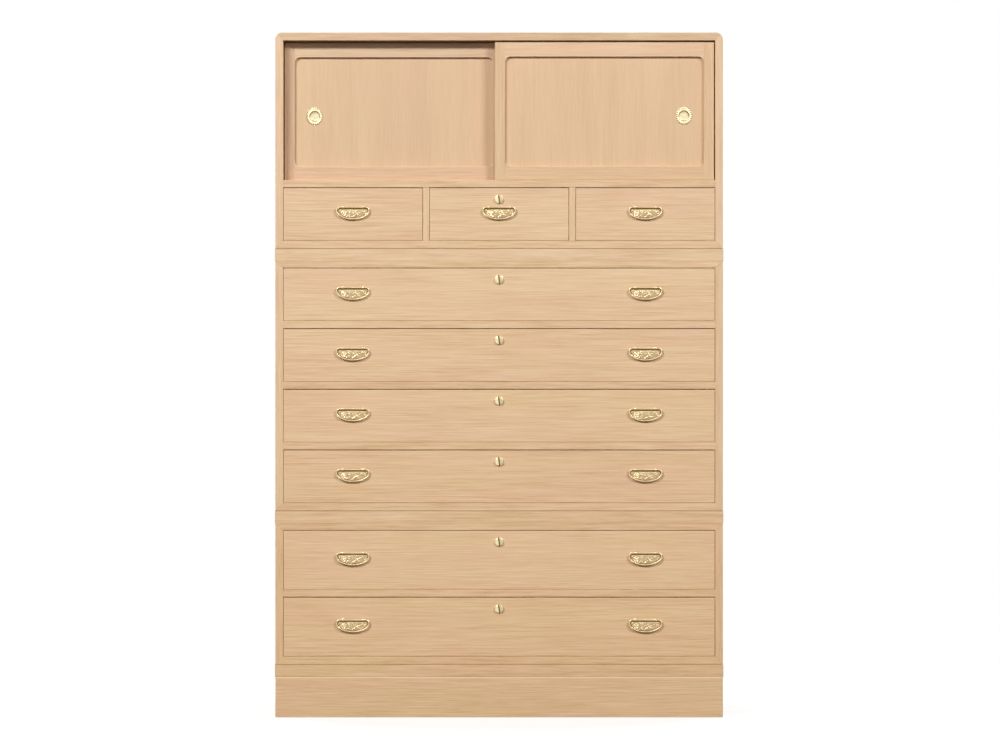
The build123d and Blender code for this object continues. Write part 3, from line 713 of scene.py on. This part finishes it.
# Locks: a domed round front with its key slot, and a square barrel through the front board
lockShape = {
    "drop": 25.5,  # its middle below the top of the front board
    "dome": [(10.0, 0.0), (10.0, 3.2), (9.8, 3.9), (9.3, 4.5), (8.5, 4.8), (6.0, 4.95), (3.0, 5.0), (0, 5.0)],
    "steps": 48,
    "slot": (3.2, 24.0, 1.2),  # width, length and height of its floor over the face
    "groove": (5.4, 1.2, 9.0, 4.1),  # place beside the slot, width, length and height of its floor
    "tilt": 8,
    "toolReach": 9.0,  # how far the tools that cut both stand out
    "patinaAndShade": (1.0, 0.3),  # painted shade in the slot, and painted shade on the half beside it that holds the groove
    "slack": 0.01,  # for telling those faces apart
    "barrel": 8.0,
    "barrelRoot": 0.1,
}


def cutAway(mesh, cutter):
    tool = bpy.data.objects.new("tool", cutter)
    bpy.context.scene.collection.objects.link(tool)
    result = withModifier(mesh, "BOOLEAN", operation="DIFFERENCE", solver="EXACT", object=tool)
    bpy.data.objects.remove(tool)
    return result


def makeLockMesh(shape):
    bm = bmesh.new()
    lathe(bm, shape["dome"], (0, 0, 0), outward, sideways, shape["steps"])
    mesh = finishMesh(bm, "lock_front", paleBrass, sharpAngle=40)
    lean = radians(shape["tilt"])
    leaning = Matrix.Rotation(-lean, 3, "Y")
    for middle, width, length, level in ((0, *shape["slot"]), shape["groove"]):
        bm = bmesh.new()
        addBox(bm, (middle - width / 2, -shape["toolReach"], -length / 2),
               (middle + width / 2, -level, length / 2))
        bmesh.ops.rotate(bm, verts=bm.verts, cent=(0, 0, 0), matrix=leaning)
        mesh = cutAway(mesh, finishMesh(bm, "slot_tool", paleBrass))
    bm = bmesh.new()
    bm.from_mesh(mesh)
    patinaAndShade = patinaAndShadeLayer(bm)
    slotSide, slack = shape["slot"][0] / 2, shape["slack"]
    slotShade, halfShade = shape["patinaAndShade"]
    # Painted shade: the slot and the half of the front beside it are darkened
    for face in bm.faces:
        places = [(vert.co.x * cos(lean) + vert.co.z * sin(lean)) / mm for vert in face.verts]
        if max(map(abs, places)) < slotSide + slack:
            face[patinaAndShade] = slotShade
        elif min(places) > slotSide - slack:
            face[patinaAndShade] = halfShade
    half = shape["barrel"] / 2
    addBox(bm, (-half, -shape["barrelRoot"], -half), (half, frontBoard, half))
    return finishMesh(bm, "lock_front", paleBrass, sharpAngle=35)


lockMesh = makeLockMesh(lockShape)


# The lock case behind the front board is built round its bolt: a block below, two cheeks and two walls
lockCase = {
    "drop": 1.5,  # its top below the top of the front board
    "size": (36.0, 30.0),  # across and down
    "wall": 3.0,  # before and behind the bolt
    "gap": 0.3,  # all round the bolt
    "blockEase": 0.5,
    "cheekEase": 0.3,
    "wallEase": 0.1,
    "boltEase": 0.4,
    "screw": [(2.3, 0), (2.2, 0.4), (1.4, 0.9), (0, 1.05)],
    "screwSteps": 16,
    "screwPlaces": [(-14.0, -5.0), (14.0, -5.0), (-14.0, -25.0), (14.0, -25.0)],  # from its top middle
}


def makeBolt(node, shape):
    bm = bmesh.new()
    bm.from_mesh(frame["nodes"][node].data)
    bmesh.ops.remove_doubles(bm, verts=bm.verts, dist=1e-6)
    joinFlats(bm)
    bevelEdges(bm, bm.edges[:], shape["boltEase"], clamp=True)
    return finishMesh(bm, node, brass, sharpAngle=20)


def makeLockCase(boltLow, boltHigh, shape):
    bm = bmesh.new()
    (lowX, lowY, lowZ), (highX, highY, top) = [[c / mm for c in corner] for corner in (boltLow, boltHigh)]
    gap, wall, middle = shape["gap"], shape["wall"], (lowX + highX) / 2
    left, right = middle - shape["size"][0] / 2, middle + shape["size"][0] / 2
    face, back = lowY - wall, highY + wall
    boltLeft, boltRight = lowX - gap, highX + gap
    boltFace, boltBack, floor = lowY - gap, highY + gap, lowZ - gap
    addBox(bm, (left, face, top - shape["size"][1]), (right, back, floor), shape["blockEase"])
    addBox(bm, (left, face, floor), (boltLeft, back, top), shape["cheekEase"])
    addBox(bm, (boltRight, face, floor), (right, back, top), shape["cheekEase"])
    addBox(bm, (boltLeft, face, floor), (boltRight, boltFace, top), shape["wallEase"])
    addBox(bm, (boltLeft, boltBack, floor), (boltRight, back, top), shape["wallEase"])
    for x, z in shape["screwPlaces"]:
        lathe(bm, shape["screw"], (middle + x, back, top + z), -outward, sideways, shape["screwSteps"])
    return finishMesh(bm, "lock_case", brass)


# The brass of each drawer, placed from the bails and bolts of the frame
for body in sorted(frame["bodies"]):
    fittings = f"{body}_fittings"
    if fittings not in frame["nodes"]:
        continue
    for bail in [name for name in sorted(frame["bodies"]) if name.startswith(f"{body}_bail_")]:
        low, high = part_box(bail)
        number = bail[-1]
        toBar = bailShape["rim"] / 2 * mm  # from the top of bail and plate to the bar's middle
        bar = Vector(((low.x + high.x) / 2, (low.y + high.y) / 2, high.z - toBar))
        addPiece(f"{bail}_handle", bailMesh, bail, bar, replaces=(bail,))
        plateTop = bar - outward * knuckleShape["stand"] * mm + upward * toBar
        addPiece(f"{body}_back_plate_{number}", plateMesh, body, plateTop)
        for side, way in (("left", -1), ("right", 1)):
            addPiece(f"{body}_knuckle_{number}_{side}", knuckleMesh, body,
                                 bar + sideways * (way * knuckleShape["spread"] * mm))
    bolt = f"{body}_lock_bolt"
    if bolt in frame["nodes"]:
        low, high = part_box(bolt)
        addPiece(f"{body}_lock_case", makeLockCase(low, high, lockCase), body)
        place = ((low.x + high.x) / 2, low.y - (lockCase["wall"] + frontBoard) * mm,
                 high.z + (lockCase["drop"] - lockShape["drop"]) * mm)
        addPiece(f"{body}_lock_front", lockMesh, body, place)
        addPiece(f"{bolt}_bar", makeBolt(bolt, lockCase), bolt, replaces=(bolt,))
    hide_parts(fittings)
print("drawer brass placed")


# Door pulls: an oval flower rim round a finger cup
pullShape = {
    "stand": 1.6,  # what the node stands out from its panel
    "petals": 24,
    "petalRound": 0.5,  # less is blunter
    "scallop": 0.1,  # how far the gaps between petals cut into the rim
    "steps": 8,  # for each petal
    "mouth": (25.0, 24.8),
    "levels": [  # share of the way from the mouth to the rim, height over the panel, petal relief
        (1.0, 0.0, 0.0), (1.0, 0.4, 0.3), (0.95, 0.9, 0.7), (0.80, 1.6, 0.9), (0.60, 2.0, 0.5),
        (0.44, 1.9, 0.2), (0.34, 1.3, 0.0), (0.27, 1.5, 0.0), (0.13, 1.8, 0.0), (0.0, 1.6, 0.0)],
    # Patina and painted shade in the gaps between the petals
    "gapPatinaAndShade": 0.85,
    "gapGain": 1.6,  # how fast the patina grows with the relief
    "gapFade": 0.6,  # less is broader
    "cup": (24.0, 28.0),
    "cupSteps": [  # share of the mouth, height, and patina with painted shade, which on the lower ring also dims the lamp reflections
        (0.96, 0.6, 0.5), (0.94, -1.5, 0.9), (0.92, -4.0, 0.9), (0.89, -6.0, 0.6), (0.83, -6.7, 0.4),
        (0.78, -6.8, 0.2), (0.7, -6.83, 0.0), (0.0, -6.9, 0.0)],
    "back": [(1.13, 0.0), (1.13, -7.6), (1.0, -8.4)],  # share of the cup and height
    "backPatina": 0.3,
}


def makePullMesh(shape, width, height):
    bm = bmesh.new()
    patinaAndShade = patinaAndShadeLayer(bm)
    mouthX, mouthZ = shape["mouth"][0] / 2, shape["mouth"][1] / 2
    cupX, cupZ = shape["cup"][0] / 2, shape["cup"][1] / 2
    steps = shape["petals"] * shape["steps"]
    crests = [abs(cos(shape["petals"] * pi * k / steps)) ** shape["petalRound"] for k in range(steps)]

    def ring(radiusX, radiusZ, level, relief=0.0, scallop=0.0):
        points = []
        for k, crest in enumerate(crests):
            reach = 1 - scallop * (1 - crest)
            points.append(bm.verts.new((radiusX * reach * cos(2 * pi * k / steps) * mm,
                                        -(level - relief * (1 - crest)) * mm,
                                        radiusZ * reach * sin(2 * pi * k / steps) * mm)))
        return points

    def join(first, second, dark):
        for k in range(steps):
            bm.faces.new((first[k - 1], first[k], second[k], second[k - 1]))[patinaAndShade] = dark(k)

    rims = [ring(mouthX + (width / 2 - mouthX) * share, mouthZ + (height / 2 - mouthZ) * share, level, relief,
                 shape["scallop"] * share) for share, level, relief in shape["levels"]]
    # The gaps between the petals are darkened as patina and as painted shade
    for first, second, (*_, relief) in zip(rims, rims[1:], shape["levels"][1:]):
        depth = shape["gapPatinaAndShade"] * min(1, relief * shape["gapGain"])
        join(first, second, lambda k: depth * (1 - min(crests[k - 1], crests[k])) ** shape["gapFade"])
    cups = [ring(mouthX * share, mouthZ * share, level) for share, level, _ in shape["cupSteps"][:-1]]
    # Patina in the cup's hollow, with painted shade that dims the lamp reflections on its lower ring
    for first, second, (*_, dark) in zip([rims[-1]] + cups, cups, shape["cupSteps"]):
        join(first, second, lambda k: dark)
    centre = bm.verts.new((0, -shape["cupSteps"][-1][1] * mm, 0))
    for k in range(steps):
        bm.faces.new((cups[-1][k - 1], cups[-1][k], centre))
    backs = [rims[0]] + [ring(cupX * share, cupZ * share, level) for share, level in shape["back"]]
    for first, second in zip(backs, backs[1:]):
        join(first, second, lambda k: shape["backPatina"])
    bm.faces.new(backs[-1])
    return finishMesh(bm, "door_pull", paleBrass, sharpAngle=50)


for side in ("right", "left"):
    node = f"door_{side}_pull"
    low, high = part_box(node)
    pullMesh = makePullMesh(pullShape, (high.x - low.x) / mm, (high.z - low.z) / mm)
    place = ((low.x + high.x) / 2, low.y + pullShape["stand"] * mm, (low.z + high.z) / 2)
    addPiece(f"{node}_flower", pullMesh, bodyOf[node], place, replaces=(node,))
print("door pulls placed")


# Floor, backdrop and light
studio = {
    "floorSize": (6.0, 4.4),
    "floorPlace": (0.0, -1.2, 0.0),
    "floorTone": (128, 126, 123),
    "floorRoughness": 0.9,
    "floorGlow": (0.73, 1.0),  # close to the chest and further out
    "glowReach": (0.5, 1.2),  # from where to where it changes
    "fill": 0.045,
    "keys": [  # name, place, power, width and height
        ("key_left", (-3.45, -5.2, 4.8), 352, 2.5, 0.6),
        ("key_right", (4.57, -5.46, 4.8), 303, 2.2, 0.6),
        ("front_light", (0.9, -6.2, 3.3), 16, 0.4, 0.4),
        ("back_left", (-3.4, 4.8, 3.4), 190, 2.4, 1.4),
        ("back_right", (3.4, 4.8, 3.4), 190, 2.4, 1.4),
    ],
    "aim": (0.0, -0.2, 0.9),
}


def seenDirectly(tree):
    path = addNode(tree, "ShaderNodeLightPath").outputs
    seen = calculate(tree, "MAXIMUM", path["Is Camera Ray"], path["Is Glossy Ray"])
    return calculate(tree, "MAXIMUM", seen, path["Is Transmission Ray"])


def makeFloor(settings):
    material, tree, shader = newMaterial("studio_floor")
    shader.inputs["Base Color"].default_value = tone(*settings["floorTone"])
    shader.inputs["Roughness"].default_value = settings["floorRoughness"]
    place = addNode(tree, "ShaderNodeTexCoord").outputs["Object"]
    distance = addNode(tree, "ShaderNodeVectorMath", {0: place}, operation="LENGTH").outputs["Value"]
    glow = addNode(tree, "ShaderNodeMapRange", {
        "Value": distance, "From Min": settings["glowReach"][0], "From Max": settings["glowReach"][1],
        "To Min": settings["floorGlow"][0], "To Max": settings["floorGlow"][1]})
    strength = calculate(tree, "MULTIPLY", seenDirectly(tree), glow.outputs[0])
    shine = addNode(tree, "ShaderNodeEmission", {"Strength": strength})
    whole = addNode(tree, "ShaderNodeAddShader", {0: shader.outputs[0], 1: shine.outputs[0]})
    tree.links.new(whole.outputs[0], tree.nodes["Material Output"].inputs["Surface"])
    bm = bmesh.new()
    matrix = Matrix.Translation(settings["floorPlace"]) @ Matrix.Diagonal((*settings["floorSize"], 1, 1))
    bmesh.ops.create_grid(bm, x_segments=1, y_segments=1, size=0.5, matrix=matrix)
    floor = bpy.data.objects.new("studio_floor", finishMesh(bm, "studio_floor", material))
    bpy.context.scene.collection.objects.link(floor)


def makeWorld(settings):
    world = bpy.data.worlds.new("studio")
    bpy.context.scene.world = world
    world.use_nodes = True
    tree = world.node_tree
    fill = tree.nodes["Background"]
    fill.inputs["Color"].default_value = (1, 1, 1, 1)
    fill.inputs["Strength"].default_value = settings["fill"]
    white = addNode(tree, "ShaderNodeBackground", {"Color": (1, 1, 1, 1), "Strength": 1.0}).outputs[0]
    mixed = addNode(tree, "ShaderNodeMixShader", {0: seenDirectly(tree), 1: fill.outputs[0], 2: white})
    tree.links.new(mixed.outputs[0], tree.nodes["World Output"].inputs["Surface"])


def addKey(name, place, power, wide, high, settings):
    light = bpy.data.lights.new(name, "AREA")
    light.shape = "RECTANGLE"
    light.size, light.size_y = wide, high
    light.energy = power
    lamp = bpy.data.objects.new(name, light)
    lamp.location = place
    lamp.rotation_euler = (Vector(settings["aim"]) - Vector(place)).to_track_quat("-Z", "Y").to_euler()
    bpy.context.scene.collection.objects.link(lamp)


makeFloor(studio)
makeWorld(studio)
for key in studio["keys"]:
    addKey(*key, studio)


# Camera: level and square to the front
view = {
    "centre": (0.002, 0.807),  # what the middle of the picture shows, x and z
    "away": 10.0,
    "frameWidth": 2.3235,
    "sensor": 36,
    "clipEnd": 100,
}


def addCamera(settings):
    data = bpy.data.cameras.new("camera")
    data.sensor_width = settings["sensor"]
    data.lens = settings["sensor"] * settings["away"] / settings["frameWidth"]
    data.clip_end = settings["clipEnd"]
    camera = bpy.data.objects.new("camera", data)
    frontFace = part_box("case_bottoms")[0].y
    camera.location = (settings["centre"][0], frontFace - settings["away"], settings["centre"][1])
    camera.rotation_euler = (pi / 2, 0, 0)
    bpy.context.scene.collection.objects.link(camera)
    bpy.context.scene.camera = camera


addCamera(view)
bpy.context.scene.view_settings.view_transform = "Standard"
print("studio ready")
